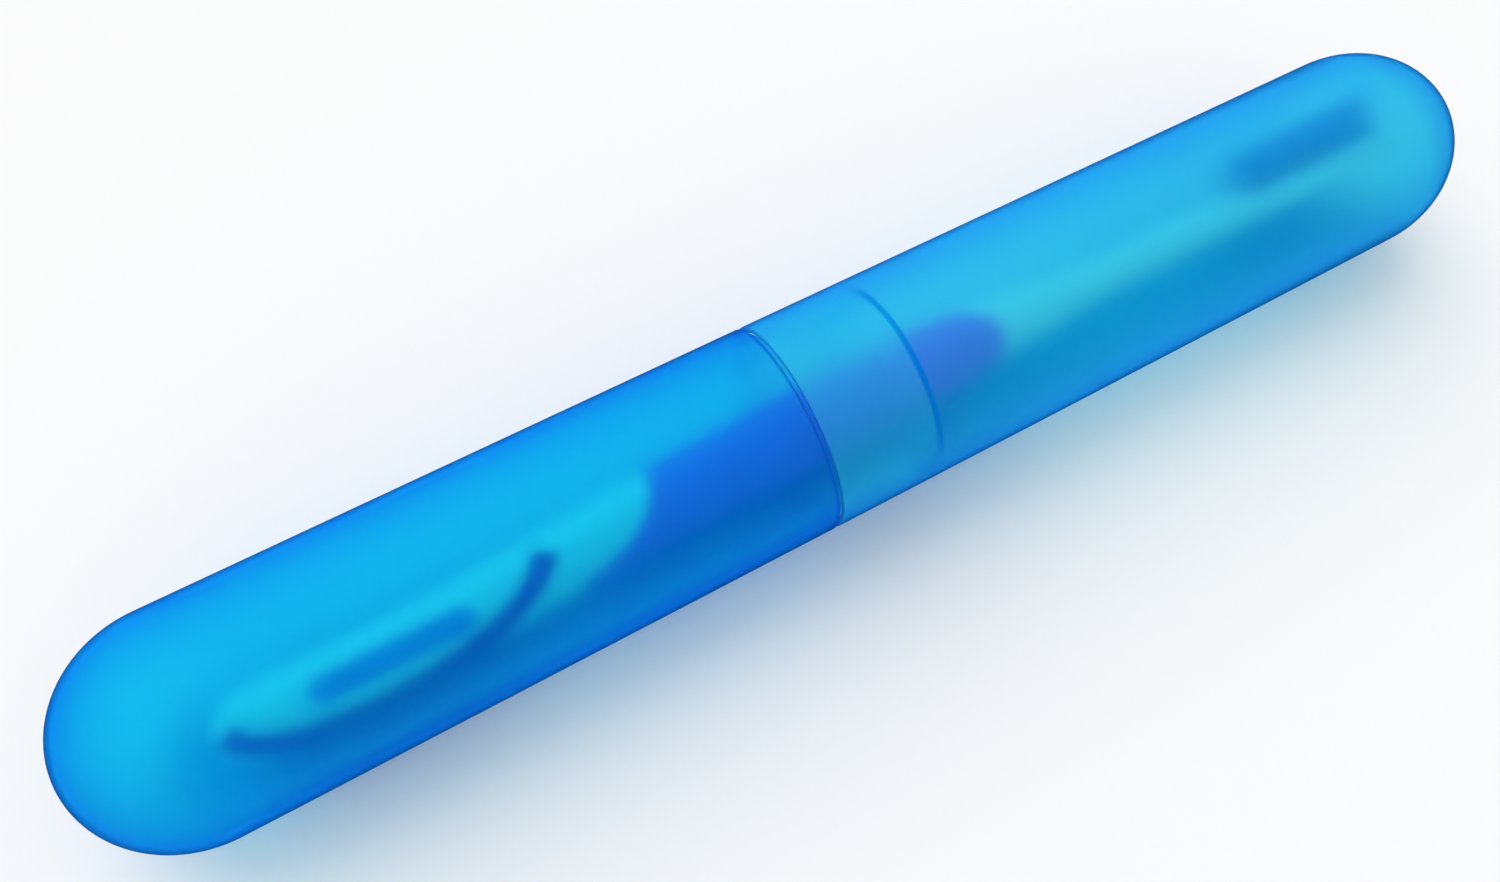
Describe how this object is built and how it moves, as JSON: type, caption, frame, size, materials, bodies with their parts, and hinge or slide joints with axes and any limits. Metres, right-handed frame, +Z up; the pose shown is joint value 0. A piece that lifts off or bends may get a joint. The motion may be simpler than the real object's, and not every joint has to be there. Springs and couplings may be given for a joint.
{
  "type": "travel toothbrush holder",
  "caption": "Frosted see-through plastic tube with round ends, in push-fit halves, that carries a toothbrush with rubber grips and a bristled head.",
  "frame": {"origin": "on the surface that the tube lies on, under the middle of its length", "axes": "+X along the tube from the body half to the cap half, +Z up, +Y across the tube"},
  "size_m": [0.2042, 0.029, 0.029],
  "materials": {
    "body_plastic": "frosted see-through polypropylene, deep sky blue, matt outside",
    "cap_plastic": "frosted see-through polypropylene, the same blue in a thinner wall",
    "handle_plastic": "white moulded polypropylene, satin gloss",
    "grip_rubber": "violet soft rubber, matt",
    "strip_rubber": "indigo soft rubber, matt",
    "pad_rubber": "blue soft rubber, matt, finely ribbed",
    "bristle_nylon": "pale blue nylon filament, fine satin strands"
  },
  "bodies": {
    "body": {"body_shell": "body_plastic"},
    "brush": {"brush_handle": "handle_plastic", "thumb_grip": "grip_rubber", "tail_strip": "strip_rubber", "tail_pad_left": "pad_rubber", "tail_pad_right": "pad_rubber", "bristle_row_1": "bristle_nylon", "bristle_row_2": "bristle_nylon", "bristle_row_3": "bristle_nylon", "bristle_row_4": "bristle_nylon"},
    "cap": {"cap_shell": "cap_plastic"}
  },
  "joints": [
    {"name": "brush_withdraw", "type": "slide", "parent": "body", "child": "brush", "axis": [1, 0, 0], "range_m": [0, 0.1]},
    {"name": "cap_pull", "type": "slide", "parent": "brush", "child": "cap", "axis": [1, 0, 0], "range_m": [0, 0.115]}
  ]
}
